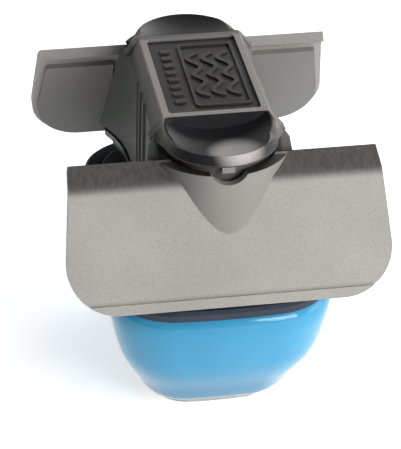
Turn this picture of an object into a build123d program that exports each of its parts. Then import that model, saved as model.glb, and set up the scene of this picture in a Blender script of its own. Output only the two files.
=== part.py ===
# Two-piece magnetic glass cleaner, the halves stuck together and standing on the dry half.
# Millimetres, +Z up, origin on the resting surface under the centre of the dry half.
# The front is -Y. The wet half is on top, with one blade carrier at its front and one at its rear.
from build123d import *
import os

os.makedirs("parts", exist_ok=True)

# ---- driving dimensions ----
wall = 1.8                      # moulded wall of both shells

# dry half, from the table up; its outlines are full ovals, longer than they are wide
rim_w = 18.4                    # half width of the dome handle at its open rim
rim_len = 29.6                  # half length there
rim_z = 24.8
cap_h = 2.2                     # grey end cap that the cleaner stands on
cap_foot_share = 0.54           # size of the cap's underside, as a share of the rim
cap_top_share = 0.60
dome_levels = (                 # height and size of the dome, as a share of the rim
    (cap_h, 0.62),
    (5.0, 0.71),
    (9.0, 0.81),
    (14.0, 0.92),
    (19.5, 0.985),
    (rim_z - 0.8, 1.0),
    (rim_z, 0.98),
)
stem_r = 3.0                    # the two snap stems of the end cap
stem_head_r = 3.7
stem_bore_r = 2.2
stem_head_h = 0.8
stem_gap = 18.0
plate_t = 1.8                   # black closing plate, flush with the rim
plate_margin = 2.4              # from the rim in to the plate
ring_margin = 0.4               # from the rim in to the soft ring round the dry felt
ring_w = 2.4
ring_t = 1.6
felt_margin = 3.1               # from the rim in to the dry felt
felt_t = 2.4                    # dry felt, standing proud of its ring
felt_top = rim_z + felt_t
halves_gap = 0.2                # air between the two felts

# wet half, upwards from its felt
wet_felt_z = felt_top + halves_gap
wet_felt_t = 2.0
flange_z = wet_felt_z + wet_felt_t
flange_t = 1.0
seal_t = 0.5
shell_z = flange_z + flange_t + seal_t
body_len = 27.0                 # half length of the grip shell at its foot
body_end_w = 13.8               # half width there, at the flared ends
body_waist_w = 10.5             # half width there, at the waist
shoulder_z = 50.0               # where the flanks turn in towards the top panel
shoulder_len = 16.7
shoulder_end_w = 11.2
shoulder_waist_w = 10.1
top_z = 53.5                    # top of the frame round the panel
frame_w = 8.4                   # half width of that frame, outside
frame_len = 14.3                # half length of that frame, outside
panel_w = 7.35                  # half width of the panel insert
panel_len = 13.0                # half length of the panel insert
panel_t = 1.0
panel_sink = 0.5                # how far the panel lies below its frame
relief_h = 0.35
badge_x = 1.9                   # centre of the bordered field on the panel
badge_size = (9.2, 21.6)
badge_border = 0.5
wave_gap = 2.5                  # between neighbouring waves, and their half period
wave_swing = 0.75
wave_w = 0.8
bar_x = -4.9                    # column of bars beside the field
bar_size = (1.6, 1.0)
bar_gap = 2.5

# finger nose at each end of the grip shell
nose_r = 9.2
nose_y = 17.1                   # centre of the nose's round end
nose_top_r = 8.2
nose_top_y = 16.0
nose_foot_z = 43.6              # skirt under the nose, inside the carrier's bulge
nose_foot_r = 3.0
nose_foot_y = 20.6
skirt_r = 9.3
skirt_y = 15.2
nose_root_y = 15.5              # where the nose leaves the shoulders
nose_side = (8.8, 18.9)         # where its sides turn into the round end
lip_z = 50.6                    # underside of the nose's lip
lip_rise = 0.6                  # height over which the skirt spreads into the lip
lip_step = 0.2                  # the nose's top starts this far in from its lip
crown_half = 10.0               # the nose's top is crowned across this half width
crown_levels = (                # y of a section, its height in the middle and at the sides
    (frame_len, top_z + 0.3, top_z),
    (18.5, 53.1, 51.0),
    (28.0, 52.3, 50.9),
)
scoop_y = 18.6                  # centre of the hollow in the nose
scoop_z = 54.0
scoop_size = (9.3, 8.0, 3.6)    # its half axes
tab_w = 2.0                     # stop tab under the lip's middle
tab_t = 1.2
tab_h = 1.8
tab_y = nose_y + nose_r - 1.3
groove_r = 1.5                  # finger grooves in the flanks
groove_step = 4.0

# blade carriers, given for the rear one; the front one is its mirror image
carrier_top_w = 47.6
carrier_foot_w = 52.6
carrier_t = 1.7
shelf_in = (20.15, 49.4)        # (y, z) of the shelf's inner edge
shelf_out = (23.9, 47.3)        # (y, z) of the bend between shelf and face
face_foot = (31.7, 28.8)        # (y, z) of the bottom edge
bend_r = 3.0
corner_r = 8.0
bulge_top_r = 11.4              # half cone that clears the nose
bulge_top_y = 15.4
bulge_foot_r = 6.3
bulge_foot_y = 20.95
bulge_foot_z = 39.0
pocket_top_r = 9.6              # hollow inside that cone
pocket_top_y = 15.9
pocket_foot_r = 2.2
pocket_foot_y = 23.4
pocket_foot_z = 41.2
notch_r = 3.4                   # round dip in the rim that clears the stop tab
notch_y = 23.9
notch_h = 1.6
blade_w = 47.0
blade_proud = 0.3               # how far the edge stands below the carrier
blade_h = 11.0
blade_t = 0.4
clamp_t = 1.0
clamp_inset = 0.5
clamp_top = 1.6                 # from the bend down to the clamp
clamp_window = (23.6, 17.0)     # clears the hinge and the nose
peg_gap = 32.0                  # two pegs hold clamp, blade and carrier in line
peg_up = 6.0
peg_r = 1.0
peg_h = 1.0
face_groove_up = 1.9            # fine groove above the face's bottom edge
face_groove_w = 0.6
face_groove_h = 0.35

# carrier hinges
pin_y = 20.9
pin_z = 44.8
pin_r = 1.0
pin_bore_r = 1.05
pin_half = 11.1
lug_r = 2.2
lug_in = 9.3                    # nearest and farthest |x| of each lug
lug_out = 11.0
lug_root_y = 23.9
knuckle_r = 1.8
knuckle_half = 9.0
knuckle_web = 3.4
hinge_gap = 0.3

# magnets, steel and screws
magnet_size = (7.0, 30.0, 5.0)
magnet_x = 3.7
yoke_size = (14.6, 30.0, 2.0)
magnet_pair_w = 2 * magnet_x + magnet_size[0]
magnet_play = 0.2
magnet_frame_t = 1.0
magnet_frame_h = magnet_size[2] + 0.6
screw_r = 1.1
screw_head_r = 2.0
screw_head_h = 0.9
screw_len = 8.0
countersink_h = 1.1
thread_gap = 0.02
dry_screw_at = (10.5, 19.5)
dry_post_r = 2.3
dry_bore_z = 14.0               # bottom of the screw bores in the posts
wet_screw_at = (7.6, 22.0)
wet_post_r = 2.0
wet_post_h = 5.5

FRONT = Plane.XZ


def finish(builder, name):
    """Name a finished piece and write it to its own file."""
    builder.part.label = name
    export_step(builder.part, f"parts/{name}.step")


def hourglass(end_w, waist_w, half_len):
    """Waisted outline, widest at its two straight ends."""
    near_end = waist_w + 0.22 * (end_w - waist_w)
    side = [
        (end_w, -half_len),
        (near_end, -0.78 * half_len),
        (waist_w, 0),
        (near_end, 0.78 * half_len),
        (end_w, half_len),
    ]
    with BuildSketch() as outline:
        with BuildLine():
            Spline(*side)
            Line((end_w, half_len), (-end_w, half_len))
            Spline(*[(-x, -y) for x, y in side])
            Line((-end_w, -half_len), (end_w, -half_len))
        make_face()
    return outline.sketch


def oval(half_w, half_len):
    """Oval of four bowed sides with wide round corners."""
    corner_x = 0.93 * half_w
    corner_y = 0.95 * half_len
    with BuildSketch() as outline:
        with BuildLine():
            ThreePointArc((corner_x, -corner_y), (half_w, 0), (corner_x, corner_y))
            ThreePointArc((corner_x, corner_y), (0, half_len), (-corner_x, corner_y))
            ThreePointArc((-corner_x, corner_y), (-half_w, 0), (-corner_x, -corner_y))
            ThreePointArc((-corner_x, -corner_y), (0, -half_len), (corner_x, -corner_y))
        make_face()
        fillet(outline.vertices(), 0.55 * half_w)
    return outline.sketch


def rim_oval(margin):
    """The dome's rim outline, drawn in by margin."""
    return oval(rim_w - margin, rim_len - margin)


def bevelled_slab(margin, z, height, bevel):
    """Slab with the rim's outline drawn in by margin, its top edge bevelled."""
    with BuildPart() as slab:
        with BuildSketch(Plane.XY.offset(z)):
            add(rim_oval(margin))
        extrude(amount=height - bevel)
        with BuildSketch(Plane.XY.offset(z + height - bevel)):
            add(rim_oval(margin))
        with BuildSketch(Plane.XY.offset(z + height)):
            add(rim_oval(margin + bevel))
        loft(ruled=True)
    return slab.part


def four_circles(centre, radius):
    """Circles at the four corners (+-x, +-y) of a screw pattern."""
    with BuildSketch() as pattern:
        with GridLocations(2 * centre[0], 2 * centre[1], 2, 2):
            Circle(radius)
    return pattern.sketch


# =========================== dry half ===========================

def dome(inset):
    """Solid dome, drawn in from the handle's outer surface by inset."""
    with BuildPart() as solid:
        for z, share in dome_levels:
            with BuildSketch(Plane.XY.offset(max(z, cap_h + inset))):
                add(oval(share * rim_w - inset, share * rim_len - inset))
        loft()
    return solid.part


dome_outside = dome(0)
dome_inside = dome(wall)

# posts that the closing plate is screwed to, trimmed to the dome they stand in
with BuildPart() as dry_posts:
    with BuildSketch():
        add(four_circles(dry_screw_at, dry_post_r))
    extrude(amount=rim_z - plate_t)
    add(dome_outside, mode=Mode.INTERSECT)

with BuildPart() as dry_handle_shell:
    add(dome_outside)
    add(dome_inside, mode=Mode.SUBTRACT)
    add(dry_posts.part)
    with BuildSketch(Plane.XY.offset(dry_bore_z)):
        add(four_circles(dry_screw_at, screw_r))
    extrude(amount=rim_z, mode=Mode.SUBTRACT)
    # sockets for the end cap's stems
    with BuildSketch(Plane.XY):
        with GridLocations(0, stem_gap, 1, 2):
            Circle(stem_r + 0.05)
    extrude(amount=cap_h + wall + 1, mode=Mode.SUBTRACT)
finish(dry_handle_shell, "dry_handle_shell")

with BuildPart() as dry_end_cap:
    with BuildSketch(Plane.XY):
        add(oval(cap_foot_share * rim_w, cap_foot_share * rim_len))
    with BuildSketch(Plane.XY.offset(cap_h)):
        add(oval(cap_top_share * rim_w, cap_top_share * rim_len))
    loft(ruled=True)
    with BuildSketch(Plane.XY.offset(cap_h)):
        with GridLocations(0, stem_gap, 1, 2):
            Circle(stem_r)
    extrude(amount=wall)
    # retaining heads inside the dome
    with BuildSketch(Plane.XY.offset(cap_h + wall)):
        with GridLocations(0, stem_gap, 1, 2):
            Circle(stem_head_r)
            Circle(stem_bore_r, mode=Mode.SUBTRACT)
    extrude(amount=stem_head_h)
finish(dry_end_cap, "dry_end_cap")

with BuildPart() as dry_base_plate:
    with BuildSketch(Plane.XY.offset(rim_z - plate_t)):
        add(rim_oval(plate_margin))
        add(four_circles(dry_screw_at, screw_r + 0.2), mode=Mode.SUBTRACT)
    extrude(amount=plate_t)
    # countersinks, open upwards under the felt
    with BuildSketch(Plane.XY.offset(rim_z - countersink_h)):
        add(four_circles(dry_screw_at, screw_head_r + 0.2))
    extrude(amount=countersink_h, mode=Mode.SUBTRACT)
    # frame that holds the magnets against the plate
    with BuildSketch(Plane.XY.offset(rim_z - plate_t)):
        Rectangle(magnet_pair_w + 2 * magnet_frame_t, magnet_size[1] + 2 * magnet_frame_t)
        Rectangle(
            magnet_pair_w + magnet_play,
            magnet_size[1] + magnet_play,
            mode=Mode.SUBTRACT,
        )
    extrude(amount=-magnet_frame_h)
finish(dry_base_plate, "dry_base_plate")

with BuildPart() as dry_seal:
    with BuildSketch(Plane.XY.offset(rim_z - plate_t - 1.0)):
        add(rim_oval(wall + 0.8))
        add(rim_oval(wall + 1.7), mode=Mode.SUBTRACT)
    extrude(amount=1.0)
finish(dry_seal, "dry_seal")

ring_slab = bevelled_slab(ring_margin, rim_z, ring_t, 0.5)
with BuildPart() as dry_rim_ring:
    add(ring_slab)
    with BuildSketch(Plane.XY.offset(rim_z)):
        add(rim_oval(ring_margin + ring_w))
    extrude(amount=ring_t, mode=Mode.SUBTRACT)
finish(dry_rim_ring, "dry_rim_ring")

felt_slab = bevelled_slab(felt_margin, rim_z, felt_t, 0.6)
with BuildPart() as dry_felt_pad:
    add(felt_slab)
finish(dry_felt_pad, "dry_felt_pad")

dry_magnet_z = rim_z - plate_t - magnet_size[2]
with BuildPart() as dry_magnets:
    with Locations((-magnet_x, 0, dry_magnet_z), (magnet_x, 0, dry_magnet_z)):
        Box(*magnet_size, align=(Align.CENTER, Align.CENTER, Align.MIN))
    chamfer(dry_magnets.edges().filter_by(Axis.Z), 0.5)
finish(dry_magnets, "dry_magnets")

with BuildPart() as dry_steel_yoke:
    with Locations((0, 0, dry_magnet_z - yoke_size[2])):
        Box(*yoke_size, align=(Align.CENTER, Align.CENTER, Align.MIN))
    chamfer(dry_steel_yoke.edges().filter_by(Axis.Z), 1.0)
finish(dry_steel_yoke, "dry_steel_yoke")

with BuildPart() as dry_screws:
    with BuildSketch(Plane.XY.offset(rim_z - countersink_h)):
        add(four_circles(dry_screw_at, screw_head_r))
    extrude(amount=screw_head_h)
    with BuildSketch(Plane.XY.offset(rim_z - countersink_h)):
        add(four_circles(dry_screw_at, screw_r - thread_gap))
    extrude(amount=-screw_len)
    # cross recess in each head
    with BuildSketch(Plane.XY.offset(rim_z - countersink_h + screw_head_h)):
        with GridLocations(2 * dry_screw_at[0], 2 * dry_screw_at[1], 2, 2):
            Rectangle(2.2, 0.5)
            Rectangle(0.5, 2.2)
    extrude(amount=-0.5, mode=Mode.SUBTRACT)
finish(dry_screws, "dry_screws")

# =========================== wet half ===========================


def waisted_prism(z, height, margin, corner):
    """Upright block with the body's outline at its foot, drawn in by margin."""
    outline = hourglass(body_end_w - margin, body_waist_w - margin, body_len - margin)
    with BuildPart() as block:
        with BuildSketch(Plane.XY.offset(z)):
            add(outline)
            fillet(vertices(), corner)
        extrude(amount=height)
    return block.part


felt_block = waisted_prism(wet_felt_z, wet_felt_t, 0.7, 1.6)
with BuildPart() as wet_felt_pad:
    add(felt_block)
finish(wet_felt_pad, "wet_felt_pad")

cavity_len = body_len - wall - 0.4
cavity_end_w = body_end_w - wall - 0.8
cavity_waist_w = body_waist_w - wall
with BuildPart() as wet_base_housing:
    add(waisted_prism(flange_z, flange_t, -0.3, 1.6))
    # frame that holds the magnets, inside the grip shell
    with BuildSketch(Plane.XY.offset(flange_z + flange_t)):
        Rectangle(magnet_pair_w + 2 * magnet_frame_t, magnet_size[1] + 2 * magnet_frame_t)
        Rectangle(
            magnet_pair_w + magnet_play,
            magnet_size[1] + magnet_play,
            mode=Mode.SUBTRACT,
        )
    extrude(amount=magnet_frame_h)
    with BuildSketch(Plane.XY.offset(flange_z)):
        add(four_circles(wet_screw_at, screw_r + 0.1))
    extrude(amount=flange_t, mode=Mode.SUBTRACT)
finish(wet_base_housing, "wet_base_housing")

with BuildPart() as wet_seal:
    add(waisted_prism(flange_z + flange_t, seal_t, 0.25, 1.4))
    add(waisted_prism(flange_z + flange_t, seal_t, wall - 0.3, 1.4), mode=Mode.SUBTRACT)
finish(wet_seal, "wet_seal")

# ---- grip shell ----
body_foot = hourglass(body_end_w, body_waist_w, body_len)
body_shoulder = hourglass(shoulder_end_w, shoulder_waist_w, shoulder_len)
cavity_foot = hourglass(cavity_end_w, cavity_waist_w, cavity_len)
cavity_shoulder = hourglass(shoulder_end_w - wall, shoulder_waist_w - wall, shoulder_len - wall)


def nose_outline(root_w, side_w, tip_y):
    """Plan of a nose, from its root on the shoulders to its round tip."""
    with BuildSketch() as outline:
        with BuildLine():
            ThreePointArc((side_w, nose_side[1]), (0, tip_y), (-side_w, nose_side[1]))
            Polyline(
                (-side_w, nose_side[1]),
                (-root_w, nose_root_y),
                (-root_w, nose_root_y - 2),
                (root_w, nose_root_y - 2),
                (root_w, nose_root_y),
                (side_w, nose_side[1]),
            )
        make_face()
    return outline.sketch


# room above the nose's top: flat at the frame, crowned and lower towards the tip
with BuildPart() as above_nose:
    for y, mid_z, side_z in crown_levels:
        with BuildSketch(Plane(origin=(0, y, 0), x_dir=(1, 0, 0), z_dir=(0, -1, 0))):
            with BuildLine():
                ThreePointArc((-crown_half, side_z), (0, mid_z), (crown_half, side_z))
                Polyline(
                    (crown_half, side_z),
                    (crown_half + 3, side_z),
                    (crown_half + 3, top_z + 6),
                    (-crown_half - 3, top_z + 6),
                    (-crown_half - 3, side_z),
                    (-crown_half, side_z),
                )
            make_face()
    loft(ruled=True)

# rear nose: a skirt that widens upwards into a round lip
with BuildPart() as rear_nose:
    with BuildSketch(Plane.XY.offset(nose_foot_z)):
        with Locations((0, nose_foot_y)):
            Circle(nose_foot_r)
    with BuildSketch(Plane.XY.offset(lip_z - lip_rise)):
        with Locations((0, skirt_y)):
            Circle(skirt_r)
    loft(ruled=True)
    with BuildSketch(Plane.XY.offset(lip_z - lip_rise)):
        with Locations((0, skirt_y)):
            Circle(skirt_r)
    with BuildSketch(Plane.XY.offset(lip_z)):
        with Locations((0, nose_y)):
            Circle(nose_r)
    loft(ruled=True)
    with BuildSketch(Plane.XY.offset(lip_z)):
        add(nose_outline(shoulder_end_w - 0.4, nose_side[0], nose_y + nose_r - lip_step))
    with BuildSketch(Plane.XY.offset(top_z)):
        add(nose_outline(frame_w, nose_side[0] - 1.0, nose_top_y + nose_top_r))
    loft(ruled=True)
    add(above_nose.part, mode=Mode.SUBTRACT)
    # stop tab under the middle of the lip
    with BuildSketch(Plane.XY.offset(lip_z + 0.4)):
        with Locations((0, tab_y)):
            Rectangle(tab_w, tab_t)
    extrude(amount=-tab_h)

# hollow in the rear nose, cut off by an upright wall at the frame
with BuildPart() as rear_scoop:
    Sphere(1)
    scale(by=scoop_size)
    with Locations((0, frame_len - scoop_y, 0)):
        Box(30, 20, 20, align=(Align.CENTER, Align.MIN, Align.CENTER), mode=Mode.INTERSECT)
rear_hollow = rear_scoop.part.moved(Location((0, scoop_y, scoop_z)))

# knuckle that carries the rear carrier's pin, with the web that joins it to the body
with BuildPart() as rear_knuckle:
    with BuildSketch(Plane.YZ):
        with Locations((pin_y, pin_z)):
            Circle(knuckle_r)
        with Locations((pin_y, pin_z)):
            Rectangle(knuckle_web, 2 * knuckle_r, align=(Align.MAX, Align.CENTER))
    extrude(amount=knuckle_half, both=True)

# slots for the carrier's lugs, and the bore for its pin
with BuildPart() as rear_hinge_cuts:
    with BuildSketch(Plane.YZ):
        with Locations((pin_y, pin_z)):
            Circle(lug_r + 0.5)
        with Locations((pin_y, pin_z)):
            Rectangle(8, 2 * lug_r + 1.0, align=(Align.MIN, Align.CENTER))
    extrude(amount=lug_out + hinge_gap, both=True)
    with BuildSketch(Plane.YZ):
        with Locations((pin_y, pin_z)):
            Rectangle(30, 30)
    extrude(amount=lug_in - hinge_gap, both=True, mode=Mode.SUBTRACT)
    with BuildSketch(Plane.YZ):
        with Locations((pin_y, pin_z)):
            Circle(pin_bore_r)
    extrude(amount=pin_half + 0.1, both=True)

# finger grooves down both flanks of the waist
with BuildPart() as flank_grooves:
    for side in (-1, 1):
        for row in (-1, 0, 1):
            path_top = Vector(side * (shoulder_waist_w + 0.5), row * groove_step, shoulder_z - 0.4)
            path_foot = Vector(side * (body_waist_w + 0.2), row * groove_step, shell_z + 2.6)
            with BuildSketch(Plane(origin=path_foot, z_dir=path_top - path_foot)):
                Circle(groove_r)
            extrude(amount=(path_top - path_foot).length)
            with Locations(path_top, path_foot):
                Sphere(groove_r)

with BuildPart() as wet_grip_shell:
    # tapering waisted body
    with BuildSketch(Plane.XY.offset(shell_z)):
        add(body_foot)
    with BuildSketch(Plane.XY.offset(shoulder_z)):
        add(body_shoulder)
    loft(ruled=True)
    # shoulders, sloping in to the frame round the panel
    with BuildSketch(Plane.XY.offset(shoulder_z)):
        add(body_shoulder)
    with BuildSketch(Plane.XY.offset(top_z)):
        add(hourglass(frame_w, frame_w, frame_len))
    loft(ruled=True)
    add(rear_nose.part)
    mirror(rear_nose.part, about=FRONT)
    add(flank_grooves.part, mode=Mode.SUBTRACT)
    # hollow inside
    with BuildSketch(Plane.XY.offset(shell_z)):
        add(cavity_foot)
    with BuildSketch(Plane.XY.offset(shoulder_z)):
        add(cavity_shoulder)
    loft(ruled=True, mode=Mode.SUBTRACT)
    # hinge at each end
    add(rear_knuckle.part)
    mirror(rear_knuckle.part, about=FRONT)
    add(rear_hinge_cuts.part, mode=Mode.SUBTRACT)
    mirror(rear_hinge_cuts.part, about=FRONT, mode=Mode.SUBTRACT)
    # finger hollows in the noses
    add(rear_hollow, mode=Mode.SUBTRACT)
    mirror(rear_hollow, about=FRONT, mode=Mode.SUBTRACT)
    # recess for the panel
    with BuildSketch(Plane.XY.offset(top_z)):
        RectangleRounded(2 * panel_w, 2 * panel_len, 0.6)
    extrude(amount=-(panel_t + panel_sink), mode=Mode.SUBTRACT)
    # screw posts in the corners of the foot
    with BuildSketch(Plane.XY.offset(shell_z)):
        add(four_circles(wet_screw_at, wet_post_r))
    extrude(amount=wet_post_h)
    with BuildSketch(Plane.XY.offset(shell_z)):
        add(four_circles(wet_screw_at, screw_r))
    extrude(amount=wet_post_h - 0.6, mode=Mode.SUBTRACT)
finish(wet_grip_shell, "wet_grip_shell")

# ---- panel insert with a plain relief: a bordered field of waves beside a column of bars ----
panel_z = top_z - panel_sink
with BuildPart() as top_panel:
    with BuildSketch(Plane.XY.offset(panel_z - panel_t)):
        RectangleRounded(2 * panel_w - 0.1, 2 * panel_len - 0.1, 0.5)
    extrude(amount=panel_t)
    with BuildSketch(Plane.XY.offset(panel_z)):
        with Locations((badge_x, 0)):
            RectangleRounded(*badge_size, 0.8)
            RectangleRounded(
                badge_size[0] - 2 * badge_border,
                badge_size[1] - 2 * badge_border,
                0.5,
                mode=Mode.SUBTRACT,
            )
    extrude(amount=relief_h)
    # waves running along the panel
    for column in (-1, 0, 1):
        wave_x = badge_x + column * wave_gap
        crests = []
        for step in range(-3, 4):
            swing = wave_swing if step % 2 else -wave_swing
            crests.append((wave_x + swing, step * wave_gap))
        with BuildSketch(Plane.XY.offset(panel_z)):
            with BuildLine() as wave:
                Spline(*crests)
            trace(wave.line, line_width=wave_w)
        extrude(amount=relief_h)
    with BuildSketch(Plane.XY.offset(panel_z)):
        with Locations((bar_x, 0)):
            with GridLocations(0, bar_gap, 1, 8):
                Rectangle(*bar_size)
    extrude(amount=relief_h)
finish(top_panel, "top_panel")

wet_magnet_z = flange_z + flange_t
with BuildPart() as wet_magnets:
    with Locations((-magnet_x, 0, wet_magnet_z), (magnet_x, 0, wet_magnet_z)):
        Box(*magnet_size, align=(Align.CENTER, Align.CENTER, Align.MIN))
    chamfer(wet_magnets.edges().filter_by(Axis.Z), 0.5)
finish(wet_magnets, "wet_magnets")

with BuildPart() as wet_steel_yoke:
    with Locations((0, 0, wet_magnet_z + magnet_size[2])):
        Box(*yoke_size, align=(Align.CENTER, Align.CENTER, Align.MIN))
    chamfer(wet_steel_yoke.edges().filter_by(Axis.Z), 1.0)
finish(wet_steel_yoke, "wet_steel_yoke")

with BuildPart() as wet_housing_screws:
    with BuildSketch(Plane.XY.offset(flange_z)):
        add(four_circles(wet_screw_at, screw_r - thread_gap))
    extrude(amount=flange_t + wet_post_h - 0.8)
finish(wet_housing_screws, "wet_housing_screws")

# =========================== blade carriers ===========================

face_run = face_foot[0] - shelf_out[0]
face_drop = shelf_out[1] - face_foot[1]
FACE = Plane(
    origin=(0, shelf_out[0], shelf_out[1]),
    x_dir=(1, 0, 0),
    z_dir=(0, face_drop, face_run),
)                               # on the rear carrier's outer face, its y running down the face
face_h = (face_run**2 + face_drop**2) ** 0.5


def face_outline(inset, top_cut):
    """Carrier's face, widening below the bend, with rounded bottom corners, in the FACE plane."""
    top_half = carrier_top_w / 2 - inset
    foot_half = carrier_foot_w / 2 - inset
    with BuildSketch() as outline:
        with BuildLine():
            Polyline(
                (-top_half, top_cut),
                (top_half, top_cut),
                (foot_half, face_h - inset),
                (-foot_half, face_h - inset),
                close=True,
            )
        make_face()
        fillet(outline.vertices().group_by(Axis.Y)[-1], corner_r - inset)
    return outline.sketch


def peg_circles(radius):
    """Two circles where the clamp's pegs pass, in the FACE plane."""
    with BuildSketch() as pattern:
        with Locations((0, face_h - peg_up)):
            with GridLocations(peg_gap, 0, 2, 1):
                Circle(radius)
    return pattern.sketch


carrier_face = face_outline(0, -8.0)
clamp_face = face_outline(clamp_inset, clamp_top)
blade_face = face_outline((carrier_foot_w - blade_w) / 2, face_h - blade_h)

with BuildPart() as pocket:
    with BuildSketch(Plane.XY.offset(pocket_foot_z)):
        with Locations((0, pocket_foot_y)):
            Circle(pocket_foot_r)
    with BuildSketch(Plane.XY.offset(shelf_in[1] + 0.4)):
        with Locations((0, pocket_top_y)):
            Circle(pocket_top_r)
    loft(ruled=True)

# room for the grip shell's end and its shoulder, which the shelf reaches round
with BuildPart() as body_room:
    with BuildSketch(Plane.XY.offset(shell_z)):
        add(hourglass(body_end_w + 0.8, body_waist_w + 0.8, body_len + 1.0))
    with BuildSketch(Plane.XY.offset(shoulder_z)):
        add(hourglass(shoulder_end_w + 0.8, shoulder_waist_w + 0.8, shoulder_len + 1.0))
    loft(ruled=True)
    with BuildSketch(FACE.offset(-carrier_t)):
        Rectangle(60, 60)
    extrude(amount=40, mode=Mode.SUBTRACT)

# two lugs on the hinge pin, rooted in the plate
with BuildPart() as lugs:
    with BuildSketch(Plane.YZ):
        with Locations((pin_y, pin_z)):
            Circle(lug_r)
            Rectangle(lug_root_y - pin_y, 2 * lug_r, align=(Align.MIN, Align.CENTER))
            Circle(pin_bore_r, mode=Mode.SUBTRACT)
    extrude(amount=lug_out, both=True)
    with BuildSketch(Plane.YZ):
        with Locations((pin_y, pin_z)):
            Rectangle(20, 20)
    extrude(amount=lug_in, both=True, mode=Mode.SUBTRACT)

# half cone over the nose, kept only outside the plate's inner face
with BuildPart() as bulge:
    with BuildSketch(Plane.XY.offset(bulge_foot_z)):
        with Locations((0, bulge_foot_y)):
            Circle(bulge_foot_r)
    with BuildSketch(Plane.XY.offset(shelf_in[1])):
        with Locations((0, bulge_top_y)):
            Circle(bulge_top_r)
    loft(ruled=True)
    with BuildSketch(FACE.offset(-carrier_t)):
        Rectangle(60, 60)
    extrude(amount=-40, mode=Mode.SUBTRACT)

with BuildPart() as rear_blade_carrier:
    # shelf and face, bent from one plate
    with BuildSketch(Plane.YZ):
        with BuildLine():
            skin = FilletPolyline(shelf_in, shelf_out, face_foot, radius=bend_r)
            offset(skin, amount=carrier_t, side=Side.RIGHT)
        make_face()
    extrude(amount=carrier_foot_w / 2, both=True)
    with BuildSketch(FACE):
        add(carrier_face)
    extrude(amount=12, both=True, mode=Mode.INTERSECT)
    add(bulge.part)
    add(pocket.part, mode=Mode.SUBTRACT)
    add(body_room.part, mode=Mode.SUBTRACT)
    add(lugs.part)
    # dip for the stop tab
    with BuildSketch(Plane.XZ.offset(-notch_y)):
        with Locations((0, shelf_in[1] + notch_r - notch_h)):
            Circle(notch_r)
    extrude(amount=-5, mode=Mode.SUBTRACT)
    # fine groove above the bottom edge
    with BuildSketch(FACE):
        with Locations((0, face_h - face_groove_up)):
            Rectangle(60, face_groove_w)
    extrude(amount=-face_groove_h, mode=Mode.SUBTRACT)
    # sockets for the clamp's pegs
    with BuildSketch(FACE.offset(-carrier_t)):
        add(peg_circles(peg_r + 0.05))
    extrude(amount=peg_h + 0.1, mode=Mode.SUBTRACT)
finish(rear_blade_carrier, "rear_blade_carrier")

with BuildPart() as rear_blade:
    with BuildSketch(FACE.offset(-carrier_t)):
        with Locations((0, (carrier_foot_w - blade_w) / 2 + blade_proud)):
            add(blade_face)
        add(peg_circles(peg_r + 0.15), mode=Mode.SUBTRACT)
    extrude(amount=-blade_t)
    chamfer(rear_blade.edges().group_by(Axis.Z)[0].sort_by(SortBy.LENGTH)[-1], 0.25)
finish(rear_blade, "rear_blade")

with BuildPart() as rear_blade_clamp:
    with BuildSketch(FACE.offset(-carrier_t)):
        add(clamp_face)
        RectangleRounded(*clamp_window, 1.2, mode=Mode.SUBTRACT)
    extrude(amount=-clamp_t)
    add(rear_blade.part, mode=Mode.SUBTRACT)
    with BuildSketch(FACE.offset(-carrier_t - blade_t)):
        add(peg_circles(peg_r))
    extrude(amount=blade_t + peg_h)
finish(rear_blade_clamp, "rear_blade_clamp")

with BuildPart() as rear_hinge_pin:
    with BuildSketch(Plane.YZ):
        with Locations((pin_y, pin_z)):
            Circle(pin_r)
    extrude(amount=pin_half, both=True)
    chamfer(rear_hinge_pin.edges().filter_by(GeomType.CIRCLE), 0.25)
finish(rear_hinge_pin, "rear_hinge_pin")

# the front carrier is the rear one seen in a mirror
for piece in (rear_blade_carrier, rear_blade, rear_blade_clamp, rear_hinge_pin):
    with BuildPart() as front_piece:
        mirror(piece.part, about=FRONT)
    finish(front_piece, piece.part.label.replace("rear", "front"))
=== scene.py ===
import math
import random

import bmesh
import bpy
from mathutils import Matrix, Vector


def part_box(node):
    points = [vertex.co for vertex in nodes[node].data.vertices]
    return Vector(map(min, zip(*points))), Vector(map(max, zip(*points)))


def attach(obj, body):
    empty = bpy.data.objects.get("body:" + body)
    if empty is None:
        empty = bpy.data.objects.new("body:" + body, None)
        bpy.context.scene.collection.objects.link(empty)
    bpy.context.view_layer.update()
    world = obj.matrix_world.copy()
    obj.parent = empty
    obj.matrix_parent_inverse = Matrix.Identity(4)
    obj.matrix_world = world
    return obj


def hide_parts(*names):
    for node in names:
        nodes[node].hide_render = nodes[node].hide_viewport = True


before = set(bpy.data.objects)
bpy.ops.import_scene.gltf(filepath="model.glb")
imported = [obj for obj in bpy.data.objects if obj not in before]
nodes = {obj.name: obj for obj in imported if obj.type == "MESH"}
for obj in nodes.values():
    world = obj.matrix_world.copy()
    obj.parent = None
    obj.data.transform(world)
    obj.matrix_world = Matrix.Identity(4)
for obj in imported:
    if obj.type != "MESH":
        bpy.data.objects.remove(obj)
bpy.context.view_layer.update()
MM = 0.001

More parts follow.
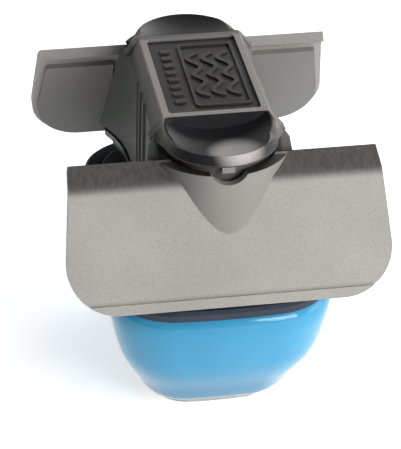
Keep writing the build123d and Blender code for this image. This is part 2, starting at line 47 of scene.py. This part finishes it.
# places on the grip shell that its colours follow, in mm
frame_z = 53.4                  # painted light on the frame round the panel from here up
rear_bar_y = 13.0               # the frame's rear bar starts here
left_flank_x = (-8.8, -10.0)    # painted shade on the left flank between these
groove_x = (10.1, 9.5)          # painted shade deepens in the finger grooves between these
groove_top_z = 50.0
groove_field_y = 5.6            # half length of the three grooves together
hollow_y = 18.6                 # middle of the ellipsoid that hollows a nose
hollow_z = 54.0
hollow_half = (9.3, 8.0, 3.6)
hollow_wall_y = 14.25           # upright wall at the inner end of a hollow
lip_z = 50.6                    # underside of a nose's lip
lip_y = 17.1                    # middle of the lip's circle
front_lip_y = (-17.5, -20.5)    # painted shade turns the front lip near black between these
skirt_inner = (58.0, 64.0)      # the skirt under the lip starts over these squared radii
skirt_outer = (100.0, 92.0)     # and ends over these
tab_half = 1.04                 # half width of the stop tab under the middle of the lip
tab_y = 24.25                   # its pale face starts here
highlight_middle = (1.6, -22.2)     # painted highlight in the front hollow
highlight_half = (4.0, 4.6)

# places on the blade carriers that their colours follow, in mm
bend_z = (45.9, 47.4)           # the plate bends from face to shelf between these
shelf_foot_z = 47.3
front_y = (-10.0, -12.0)        # only the front carrier lies past these
cone_foot_z = 39.0              # foot of the half cone in the middle
cone_spread = (0.228, 4.733)    # its half width squared grows by these with height
cone_start = 1.91               # less this, so it starts a little above its foot
cone_shelf_half = 7.3           # its half width at the shelf's foot
cone_shelf_slope = 1.46         # and how fast that grows with height
cone_rim_z = 49.35
cone_rim_half = 11.2
cone_shade_x = (-1.0, -8.5)     # the cone's left side is shaded between these
cone_shade_z = (41.0, 48.0)

# heights on the blue shell that its colours follow, in mm
blue_foot_shade_z = (16.0, 4.0)
joint_shadow_z = (3.3, 2.7)


# ---------------------------------------------------------------- shader helpers


class Shader:
    """A new material with its Principled shader and short calls that add and join nodes."""

    def __init__(self, name, **sockets):
        self.material = bpy.data.materials.new(name)
        self.material.use_nodes = True
        self.tree = self.material.node_tree
        self.surface = self.tree.nodes["Principled BSDF"]
        for socket, value in sockets.items():
            self.surface.inputs[socket.replace("_", " ")].default_value = value
        self.place = self.tree.nodes.new("ShaderNodeTexCoord").outputs["Object"]

    def put(self, value, socket):
        """Links a node's output to the socket, or sets the socket to a plain value."""
        if isinstance(value, bpy.types.NodeSocket):
            self.tree.links.new(value, socket)
        else:
            socket.default_value = value

    def node(self, kind, settings=None, **inputs):
        made = self.tree.nodes.new("ShaderNode" + kind)
        for setting, value in (settings or {}).items():
            setattr(made, setting, value)
        for socket, value in inputs.items():
            self.put(value, made.inputs[socket])
        return made

    def noise(self, scale, detail, place=None, roughness=0.5):
        made = self.node("TexNoise", Scale=scale, Detail=detail, Roughness=roughness)
        self.put(place or self.place, made.inputs["Vector"])
        return made.outputs["Fac"]

    def stretched(self, x, y, z):
        made = self.node("Mapping", Scale=(x, y, z))
        self.put(self.place, made.inputs["Vector"])
        return made.outputs["Vector"]

    def span(self, value, low, high, to_low=0.0, to_high=1.0):
        """Smooth step of the value from low to high."""
        made = self.node("MapRange", {"interpolation_type": "SMOOTHSTEP"})
        self.put(value, made.inputs["Value"])
        for socket, number in (
            ("From Min", low),
            ("From Max", high),
            ("To Min", to_low),
            ("To Max", to_high),
        ):
            made.inputs[socket].default_value = number
        return made.outputs["Result"]

    def ramp(self, value, *stops):
        made = self.node("ValToRGB", Fac=value)
        marks = made.color_ramp.elements
        while len(marks) < len(stops):
            marks.new(0.5)
        for mark, (position, colour) in zip(marks, stops):
            mark.position = position
            mark.color = (*colour, 1.0)
        return made.outputs["Color"]

    def mix(self, share, first, second):
        """Colour between first and second, each a node's output or a plain colour."""
        made = self.node("Mix", {"data_type": "RGBA"})
        self.put(share, made.inputs[0])
        for index, value in ((6, first), (7, second)):
            plain = isinstance(value, tuple)
            self.put((*value, 1.0) if plain else value, made.inputs[index])
        return made.outputs[2]

    def maths(self, operation, first, second=0.0):
        made = self.node("Math", {"operation": operation})
        self.put(first, made.inputs[0])
        self.put(second, made.inputs[1])
        return made.outputs[0]

    def plus(self, first, second):
        return self.maths("ADD", first, second)

    def minus(self, first, second):
        return self.maths("SUBTRACT", first, second)

    def times(self, first, *others):
        for other in others:
            first = self.maths("MULTIPLY", first, other)
        return first

    def absolute(self, value):
        return self.maths("ABSOLUTE", value)

    def offset(self, value, middle, half):
        """How far the value is from the middle, as a share of half."""
        return self.maths("DIVIDE", self.minus(value, middle), half)

    def squares(self, *values):
        total = self.times(values[0], values[0])
        for value in values[1:]:
            total = self.plus(total, self.times(value, value))
        return total

    def mm(self, letter):
        split = self.node("SeparateXYZ", Vector=self.place)
        return self.maths("DIVIDE", split.outputs[letter], MM)

    def colour(self, value):
        self.put(value, self.surface.inputs["Base Color"])

    def rough(self, value):
        self.put(value, self.surface.inputs["Roughness"])

    def bump(self, height, strength, distance):
        made = self.node("Bump", Strength=strength, Distance=distance, Height=height)
        self.put(made.outputs["Normal"], self.surface.inputs["Normal"])


def worn(s, colour, lighter, amount):
    """Colour with the convex edges rubbed a little lighter."""
    pointed = s.node("NewGeometry").outputs["Pointiness"]
    return s.mix(s.span(pointed, 0.53, 0.60, 0.0, amount), colour, lighter)


def flecked(s, colour, fleck, light, dark):
    """Colour with fine flecks; light and dark each hold where they start, end, amount and colour."""
    for start, end, amount, tone in (light, dark):
        colour = s.mix(s.span(fleck, start, end, 0.0, amount), colour, tone)
    return colour


# ---------------------------------------------------------------- grey plastics


def moulded_grain(name, dark, mid, light, grain):
    """Spark-eroded grey plastic: fine grain, faint clouding, rubbed edges."""
    s = Shader(name, Specular_IOR_Level=0.35)
    cloud = s.noise(90.0, 2.0)
    fleck = s.noise(2300.0, 4.0, roughness=0.65)
    pit = tuple(c * 0.55 for c in dark)
    tone = s.ramp(cloud, (0.3, dark), (0.7, mid))
    tone = flecked(s, tone, fleck, (0.52, 0.72, grain, light), (0.44, 0.30, grain, pit))
    s.colour(worn(s, tone, light, 0.35))
    s.rough(s.span(cloud, 0.3, 0.7, 0.55, 0.7))
    s.bump(s.noise(2200.0, 5.0, roughness=0.7), 0.35, 0.12 * MM)
    return s.material


def hollow_share(s, x, y, z):
    """1 inside the two finger hollows and on the front nose's lip."""
    end = s.absolute(y)
    reach = s.squares(
        s.maths("DIVIDE", x, hollow_half[0]),
        s.offset(end, hollow_y, hollow_half[1]),
        s.offset(z, hollow_z, hollow_half[2]),
    )
    lip = s.times(s.span(y, *front_lip_y), s.span(z, lip_z - 0.1, lip_z + 0.2))
    hollow = s.maths("MAXIMUM", s.span(reach, 1.12, 1.02), lip)
    above = s.span(z, lip_z - 0.6, lip_z - 0.4)
    beyond = s.span(end, hollow_wall_y - 0.05, hollow_wall_y + 0.03)
    return s.times(hollow, above, beyond)


def hollow_highlight_share(s, x, y):
    """1 in the painted highlight of the front hollow, fading outwards."""
    spot = s.squares(s.offset(x, highlight_middle[0], highlight_half[0]), s.offset(y, highlight_middle[1], highlight_half[1]))
    return s.span(spot, 1.5, 0.15)


def skirt_share(s, x, y, z):
    """1 on the skirt under a nose's lip."""
    squared = s.squares(x, s.minus(s.absolute(y), lip_y))
    ring = s.times(s.span(squared, *skirt_inner), s.span(squared, *skirt_outer))
    return s.times(ring, s.span(z, lip_z - 0.02, lip_z - 0.10))


def groove_shade_share(s, x, y, z):
    """1 in the depth of the finger grooves, where shade is painted."""
    depth = s.span(s.absolute(x), *groove_x, 0.0, 0.85)
    below = s.span(z, groove_top_z + 0.2, groove_top_z - 0.6)
    return s.times(depth, below, s.span(s.absolute(y), groove_field_y + 0.2, groove_field_y - 0.1))


def grip_shell():
    """Dark grained grey; the finger hollows are glossier, with painted shade near black and one painted
    highlight.
    """
    s = Shader("grip_grey", Specular_IOR_Level=0.35)
    x, y, z = s.mm("X"), s.mm("Y"), s.mm("Z")
    fleck = s.noise(2300.0, 4.0, roughness=0.65)
    tone = s.ramp(s.noise(90.0, 2.0), (0.3, (0.105, 0.099, 0.091)), (0.7, (0.135, 0.127, 0.117)))
    tone = flecked(
        s,
        tone,
        fleck,
        (0.52, 0.72, 0.25, (0.26, 0.25, 0.235)),
        (0.46, 0.32, 0.3, (0.05, 0.047, 0.044)),
    )
    tone = worn(s, tone, (0.25, 0.24, 0.225), 0.5)
    # painted light on the frame round the panel, except its rear bar
    painted_frame_light = s.span(z, frame_z - 0.4, frame_z, 0.0, 0.75)
    painted_frame_light = s.times(painted_frame_light, s.span(y, rear_bar_y + 0.2, rear_bar_y - 0.1, 0.15))
    tone = s.mix(painted_frame_light, tone, (0.34, 0.322, 0.308))
    # painted shade: the left flank is darker and slightly green
    tone = s.mix(s.span(x, *left_flank_x, 0.0, 0.85), tone, (0.030, 0.036, 0.031))
    # painted shade in the finger grooves
    tone = s.mix(groove_shade_share(s, x, y, z), tone, (0.014, 0.015, 0.014))
    # painted shade, near black, in the finger hollows and on the front lip, and a painted highlight in the
    # front hollow
    hollow = hollow_share(s, x, y, z)
    hollow_and_lip_shade = s.ramp(fleck, (0.3, (0.010, 0.010, 0.011)), (0.7, (0.020, 0.020, 0.022)))
    tone = s.mix(hollow, tone, hollow_and_lip_shade)
    # painted highlight in the front hollow
    painted_highlight = s.ramp(fleck, (0.3, (0.44, 0.415, 0.40)), (0.7, (0.52, 0.49, 0.48)))
    tone = s.mix(s.times(hollow_highlight_share(s, x, y), hollow), tone, painted_highlight)
    # painted shade on the skirt under the lip, and the pale stop tab
    skirt = skirt_share(s, x, y, z)
    tone = s.mix(s.times(skirt, 0.85), tone, (0.014, 0.014, 0.014))
    across = s.span(s.absolute(x), tab_half + 0.02, tab_half - 0.02)
    tab = s.times(skirt, across, s.span(s.absolute(y), tab_y - 0.05, tab_y + 0.05))
    s.colour(s.mix(tab, tone, (0.21, 0.21, 0.20)))
    s.rough(s.span(hollow, 0.0, 1.0, 0.62, 0.42))
    s.bump(s.noise(2200.0, 5.0, roughness=0.7), 0.35, 0.12 * MM)
    return s.material


def cone_share(s, side, z):
    """1 on the half cone of a carrier: a hyperbola on the face, straight sides on the shelf."""
    up = s.minus(z, cone_foot_z)
    square, plain = cone_spread
    half_squared = s.minus(s.times(s.plus(s.times(up, square), plain), up), cone_start)
    on_face = s.span(s.minus(s.times(side, side), half_squared), 1.5, -1.5)
    edge = s.plus(s.times(s.minus(z, shelf_foot_z), cone_shelf_slope), cone_shelf_half)
    on_shelf = s.times(
        s.span(s.minus(side, edge), 0.2, -0.3),
        s.span(z, shelf_foot_z - 0.5, shelf_foot_z),
    )
    return s.maths("MAXIMUM", on_face, on_shelf)


def carrier_plate():
    """Light grey grained plastic with painted shade: the front shelf is darker and coarser, the half cone
    darker and plainer, its cut rim near black.
    """
    s = Shader("carrier_grey", Specular_IOR_Level=0.35)
    x, y, z = s.mm("X"), s.mm("Y"), s.mm("Z")
    side = s.absolute(x)
    cloud = s.noise(70.0, 2.0)
    fleck = s.noise(3200.0, 4.0, roughness=0.7)
    tone = s.ramp(cloud, (0.3, (0.31, 0.297, 0.276)), (0.7, (0.365, 0.35, 0.328)))
    tone = flecked(
        s,
        tone,
        fleck,
        (0.50, 0.70, 0.25, (0.50, 0.48, 0.45)),
        (0.48, 0.30, 0.35, (0.19, 0.18, 0.17)),
    )
    cone = cone_share(s, side, z)
    # the half cone is plainer, and darker by painted shade
    plain = s.ramp(cloud, (0.3, (0.185, 0.177, 0.162)), (0.7, (0.215, 0.205, 0.19)))
    tone = s.mix(s.times(cone, 0.75), tone, plain)
    # more painted shade on the cone's left side
    shade = s.times(s.span(x, *cone_shade_x, 0.0, 0.8), s.span(z, *cone_shade_z))
    tone = s.mix(s.times(cone, shade), tone, (0.095, 0.088, 0.08))
    # painted shade on the upward-facing shelf, full on the front carrier, faint on the rear one
    front = s.maths("MAXIMUM", s.span(y, *front_y), 0.12)
    painted_shelf_shade = s.times(s.span(z, *bend_z), front, s.minus(1.0, cone))
    streak = s.noise(1900.0, 4.0, s.stretched(1.0, 0.4, 0.4))
    dark = s.ramp(streak, (0.3, (0.072, 0.066, 0.060)), (0.7, (0.115, 0.107, 0.098)))
    tone = s.mix(painted_shelf_shade, tone, dark)
    # painted shade, near black, on the cut rim of the cone, turned to the nose
    rim = s.times(
        s.span(z, cone_rim_z - 0.05, cone_rim_z + 0.02),
        s.span(side, cone_rim_half + 0.4, cone_rim_half - 0.4),
    )
    s.colour(s.mix(rim, tone, (0.022, 0.021, 0.020)))
    s.rough(s.span(cloud, 0.3, 0.7, 0.52, 0.66))
    s.bump(s.noise(2000.0, 5.0, roughness=0.7), 0.4, 0.14 * MM)
    return s.material


# ---------------------------------------------------------------- other materials


def gloss_blue():
    """Polished light blue plastic, with painted shade deeper towards the foot and a painted shadow in the
    joint above the cap.
    """
    s = Shader("gloss_blue", IOR=1.5, Specular_IOR_Level=0.3, Coat_Weight=0.1, Coat_Roughness=0.04)
    z = s.mm("Z")
    tone = s.ramp(s.noise(45.0, 2.0), (0.3, (0.036, 0.25, 0.43)), (0.7, (0.050, 0.31, 0.52)))
    # painted shade deepens the blue towards the foot
    tone = s.mix(s.span(z, *blue_foot_shade_z, 0.0, 0.9), tone, (0.014, 0.19, 0.33))
    # painted shadow in the gap above the cap
    s.colour(s.mix(s.span(z, *joint_shadow_z), tone, (0.006, 0.010, 0.014)))
    s.rough(s.span(s.noise(700.0, 3.0), 0.45, 0.7, 0.08, 0.2))
    s.bump(s.noise(160.0, 2.0), 0.03, 0.2 * MM)
    return s.material


def soft_rubber(name, tone, raised):
    """Matt rubber with moulding dust."""
    s = Shader(name)
    dust = s.noise(420.0, 4.0)
    s.colour(s.ramp(dust, (0.35, tone), (0.75, raised)))
    s.rough(s.span(dust, 0.3, 0.7, 0.6, 0.85))
    s.bump(s.noise(1300.0, 3.0), 0.3, 0.1 * MM)
    return s.material


def black_moulding():
    """Satin black plastic of the parts that close the halves."""
    s = Shader("black_moulding")
    cloud = s.noise(200.0, 3.0)
    tone = s.ramp(cloud, (0.3, (0.018, 0.021, 0.028)), (0.7, (0.034, 0.037, 0.046)))
    s.colour(worn(s, tone, (0.13, 0.13, 0.14), 0.5))
    s.rough(s.span(cloud, 0.3, 0.7, 0.34, 0.52))
    s.bump(s.noise(1700.0, 4.0), 0.2, 0.08 * MM)
    return s.material


def dark_felt():
    """Dense dark felt: tangled fibre in clumps, with a soft sheen."""
    s = Shader("dark_felt", Roughness=0.95, Sheen_Weight=0.35, Sheen_Roughness=0.45)
    fibre = s.noise(1100.0, 8.0, s.stretched(1.0, 1.9, 1.3), 0.7)
    clump = s.noise(260.0, 3.0)
    tone = s.ramp(
        fibre,
        (0.32, (0.022, 0.024, 0.030)),
        (0.5, (0.048, 0.050, 0.058)),
        (0.7, (0.105, 0.105, 0.11)),
    )
    s.colour(s.mix(s.span(clump, 0.4, 0.65, 0.0, 0.4), tone, (0.03, 0.032, 0.04)))
    s.bump(s.plus(fibre, s.times(clump, 0.6)), 0.6, 0.3 * MM)
    return s.material


def metal(name, tone, bright, roughness, stretch):
    """Worked metal with fine drawn lines."""
    s = Shader(name, Metallic=1.0)
    line = s.noise(900.0, 4.0, s.stretched(*stretch))
    s.colour(s.ramp(line, (0.3, tone), (0.7, bright)))
    s.rough(s.span(line, 0.3, 0.7, roughness * 0.8, roughness * 1.3))
    s.bump(line, 0.12, 0.05 * MM)
    return s.material


def finish_nodes():
    """Gives each CAD node that stays its material."""
    black = black_moulding()
    stainless = metal("stainless", (0.56, 0.57, 0.57), (0.74, 0.75, 0.74), 0.25, (0.05, 1.0, 1.0))
    nickel = metal("magnet_nickel", (0.62, 0.60, 0.56), (0.76, 0.74, 0.70), 0.2, (1.0, 0.4, 1.0))
    yoke = metal("yoke_steel", (0.38, 0.39, 0.40), (0.52, 0.53, 0.54), 0.4, (1.0, 0.05, 1.0))
    seal = soft_rubber("seal_rubber", (0.012, 0.012, 0.014), (0.03, 0.03, 0.033))
    ring = soft_rubber("ring_rubber", (0.016, 0.024, 0.042), (0.032, 0.042, 0.064))
    panel = moulded_grain(
        "panel_grey", (0.020, 0.018, 0.017), (0.032, 0.029, 0.028), (0.08, 0.072, 0.068), 0.25
    )
    clamp = moulded_grain(
        "clamp_grey", (0.150, 0.145, 0.130), (0.185, 0.179, 0.162), (0.28, 0.27, 0.25), 0.3
    )
    cap = moulded_grain("cap_grey", (0.30, 0.32, 0.29), (0.37, 0.39, 0.36), (0.5, 0.52, 0.5), 0.3)
    carrier = carrier_plate()
    finish = {
        "dry_handle_shell": gloss_blue(),
        "dry_end_cap": cap,
        "dry_base_plate": black,
        "dry_seal": seal,
        "dry_rim_ring": ring,
        "dry_magnets": nickel,
        "dry_steel_yoke": yoke,
        "dry_screws": stainless,
        "wet_base_housing": black,
        "wet_seal": seal,
        "wet_grip_shell": grip_shell(),
        "top_panel": panel,
        "wet_magnets": nickel,
        "wet_steel_yoke": yoke,
        "wet_housing_screws": stainless,
    }
    for end in ("front", "rear"):
        finish[end + "_blade_carrier"] = carrier
        finish[end + "_blade"] = stainless
        finish[end + "_blade_clamp"] = clamp
        finish[end + "_hinge_pin"] = stainless
    for name, material in finish.items():
        for slot in nodes[name].material_slots:
            slot.material = material


# ---------------------------------------------------------------- felt pads


def pad_outline(node, level, count):
    """Points round a node's outline at a height, found by rays from outside towards its middle."""
    low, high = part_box(node)
    middle = (low + high) / 2
    reach = (high - low).length
    points = []
    for step in range(count):
        turn = 2 * math.pi * step / count
        way = Vector((math.cos(turn), math.sin(turn), 0.0))
        start = Vector((middle.x, middle.y, level)) + way * reach
        hit, place, _, _ = nodes[node].ray_cast(start, -way)
        points.append(place if hit else start)
    return points


def close_ring(work, lower, upper, flip):
    """Faces between two closed rows of vertices of the same length."""
    for index in range(len(lower)):
        after = (index + 1) % len(lower)
        quad = (lower[index], lower[after], upper[after], upper[index])
        work.faces.new(quad[::-1] if flip else quad)


def pad_rim(work, outline, level, half, seed):
    """Rows of vertices up the pad's soft rim, which is slightly uneven."""
    inset = 0.05 * MM
    unevenness = 0.05 * MM
    corner = min(half, 0.7 * MM)
    rim_steps = 8
    draw = random.Random(seed)
    count = len(outline)
    wobble = [draw.uniform(-1, 1) for _ in range(count)]
    rows = []
    for step in range(rim_steps + 1):
        turn = math.pi * step / rim_steps - math.pi / 2
        out, lift = math.cos(turn), math.sin(turn)
        height = math.copysign(half - corner * (1 - abs(lift)), lift)
        if abs(lift) < 0.2 or abs(lift) > 0.999:
            height = lift * half
        row = []
        for index, point in enumerate(outline):
            way = Vector((point.x, point.y, 0.0))
            length = way.length
            way.normalize()
            uneven = unevenness * (wobble[index] + wobble[(index + 1) % count]) / 2
            place = way * (length - inset - corner * (1 - out) + uneven * out)
            row.append(work.verts.new((place.x, place.y, level + height)))
        rows.append(row)
    for lower, upper in zip(rows, rows[1:]):
        close_ring(work, lower, upper, False)
    return rows


def pad_face(work, row, sign):
    """Covers one side of the pad with rings that shrink to its middle, rippled like felt."""
    sink = 0.06 * MM
    ripple = 0.035 * MM
    ring_steps = 26
    previous = row
    for step in range(1, ring_steps):
        share = 1 - step / ring_steps
        inner = []
        for index, vert in enumerate(row):
            rough = ripple * math.sin(index * 1.7 + step * 2.3) * math.sin(index * 0.61 - step * 1.1)
            height = vert.co.z - sink * (1 - share) * sign + rough * sign
            inner.append(work.verts.new((vert.co.x * share, vert.co.y * share, height)))
        close_ring(work, previous, inner, sign < 0)
        previous = inner
    hub = work.verts.new((0.0, 0.0, row[0].co.z - sink * sign))
    for index in range(len(previous)):
        after = (index + 1) % len(previous)
        tri = (previous[index], previous[after], hub)
        work.faces.new(tri if sign > 0 else tri[::-1])


def felt_pad(name, node, seed, material):
    """Felt pad just inside its CAD solid, with a soft rounded rim and slightly uneven faces."""
    low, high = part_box(node)
    level = (low.z + high.z) / 2
    half = (high.z - low.z) / 2 - 0.06 * MM
    work = bmesh.new()
    rows = pad_rim(work, pad_outline(node, level, 160), level, half, seed)
    pad_face(work, rows[0], -1)
    pad_face(work, rows[-1], 1)
    bmesh.ops.recalc_face_normals(work, faces=work.faces)
    for face in work.faces:
        face.smooth = True
    mesh = bpy.data.meshes.new(name)
    work.to_mesh(mesh)
    work.free()
    pad = bpy.data.objects.new(name, mesh)
    bpy.context.scene.collection.objects.link(pad)
    mesh.materials.append(material)
    return pad


# ---------------------------------------------------------------- floor, light, camera


def floor_material():
    """White floor with a glow of its own, clear from below."""
    s = Shader("floor_white", Roughness=0.9)
    s.colour(s.ramp(s.noise(3.0, 2.0), (0.3, (0.86, 0.86, 0.855)), (0.7, (0.90, 0.90, 0.895))))
    s.surface.inputs["Emission Color"].default_value = (1.0, 1.0, 1.0, 1.0)
    s.surface.inputs["Emission Strength"].default_value = 0.62
    choose = s.node("MixShader")
    s.put(s.node("NewGeometry").outputs["Backfacing"], choose.inputs[0])
    s.put(s.surface.outputs[0], choose.inputs[1])
    s.put(s.node("BsdfTransparent").outputs[0], choose.inputs[2])
    s.put(choose.outputs[0], s.tree.nodes["Material Output"].inputs["Surface"])
    return s.material


def studio_floor():
    """Wide pale floor that curves up behind the object."""
    half_width, front_y, bend_y, radius, height = 3.0, -3.0, 1.6, 0.8, 3.0
    curve_steps = 12
    line = [(front_y, 0.0), (bend_y, 0.0)]
    for step in range(1, curve_steps + 1):
        turn = math.pi / 2 * step / curve_steps
        line.append((bend_y + radius * math.sin(turn), radius * (1 - math.cos(turn))))
    line.append((bend_y + radius, height))
    mesh = bpy.data.meshes.new("studio_floor")
    work = bmesh.new()
    rows = [[work.verts.new((x, y, z)) for x in (-half_width, half_width)] for y, z in line]
    for lower, upper in zip(rows, rows[1:]):
        work.faces.new((lower[0], lower[1], upper[1], upper[0]))
    for face in work.faces:
        face.smooth = True
    work.to_mesh(mesh)
    work.free()
    floor = bpy.data.objects.new("studio_floor", mesh)
    bpy.context.scene.collection.objects.link(floor)
    mesh.materials.append(floor_material())


def area_light(name, place, width, power):
    """Square light turned to the middle of the object."""
    middle = Vector((0.0, 0.0, 0.03))
    data = bpy.data.lights.new(name, "AREA")
    data.shape = "RECTANGLE"
    data.size = width
    data.size_y = width
    data.energy = power
    lamp = bpy.data.objects.new(name, data)
    lamp.location = place
    lamp.rotation_euler = (middle - Vector(place)).to_track_quat("-Z", "Y").to_euler()
    bpy.context.scene.collection.objects.link(lamp)


def world_light():
    """Soft surround, brighter low down and to the right; straight into the camera it is white."""
    world = bpy.data.worlds.new("studio")
    world.use_nodes = True
    tree = world.node_tree
    sky = tree.nodes["Background"]
    sky.inputs["Color"].default_value = (0.98, 0.99, 1.0, 1.0)
    split = tree.nodes.new("ShaderNodeSeparateXYZ")
    tree.links.new(tree.nodes.new("ShaderNodeTexCoord").outputs["Generated"], split.inputs[0])
    product = tree.nodes.new("ShaderNodeMath")
    product.operation = "MULTIPLY"
    for index, axis, numbers in (
        (0, "Z", (0.1, 0.8, 0.42, 0.16)),
        (1, "X", (-0.8, 0.6, 0.12, 1.25)),
    ):
        fall = tree.nodes.new("ShaderNodeMapRange")
        tree.links.new(split.outputs[axis], fall.inputs["Value"])
        for socket, number in zip(("From Min", "From Max", "To Min", "To Max"), numbers):
            fall.inputs[socket].default_value = number
        tree.links.new(fall.outputs["Result"], product.inputs[index])
    shown = tree.nodes.new("ShaderNodeMath")
    shown.operation = "MAXIMUM"
    tree.links.new(product.outputs[0], shown.inputs[0])
    tree.links.new(tree.nodes.new("ShaderNodeLightPath").outputs["Is Camera Ray"], shown.inputs[1])
    tree.links.new(shown.outputs[0], sky.inputs["Strength"])
    bpy.context.scene.world = world
    bpy.context.scene.view_settings.view_transform = "Standard"


def main_camera():
    """Long lens from above, a little left of the front."""
    azimuth, elevation, roll = math.radians(-9.35), math.radians(31.0), math.radians(0.36)
    distance, left, down = 377.1 * MM, 0.146 * MM, 1.819 * MM
    aim = Vector((0.0, 0.0, 27.0 * MM))
    back = Vector((
        math.sin(azimuth) * math.cos(elevation),
        -math.cos(azimuth) * math.cos(elevation),
        math.sin(elevation),
    ))
    right = Vector((0, 0, 1)).cross(back).normalized()
    up = back.cross(right)
    right, up = (
        math.cos(roll) * right + math.sin(roll) * up,
        -math.sin(roll) * right + math.cos(roll) * up,
    )
    data = bpy.data.cameras.new("main_camera")
    data.sensor_fit = "HORIZONTAL"
    data.sensor_width = 36.0
    data.lens = 201.995
    data.clip_start = 10.0 * MM
    camera = bpy.data.objects.new("main_camera", data)
    turn = Matrix((right, up, back)).transposed().to_4x4()
    camera.matrix_world = Matrix.Translation(aim + back * distance - right * left - up * down) @ turn
    bpy.context.scene.collection.objects.link(camera)
    bpy.context.scene.camera = camera


# ---------------------------------------------------------------- the scene

finish_nodes()
felt = dark_felt()

dry_pad = felt_pad("dry_felt_cushion", "dry_felt_pad", 7, felt)
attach(dry_pad, "dry_half")
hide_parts("dry_felt_pad")

wet_pad = felt_pad("wet_felt_cushion", "wet_felt_pad", 11, felt)
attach(wet_pad, "wet_half")
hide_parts("wet_felt_pad")

studio_floor()
world_light()
area_light("key", (0.22, -0.40, 0.22), 0.22, 1.75)
area_light("back_right", (0.30, 0.32, 0.30), 0.25, 1.0)
area_light("fill_right", (0.5, -0.1, 0.10), 0.3, 0.8)
main_camera()
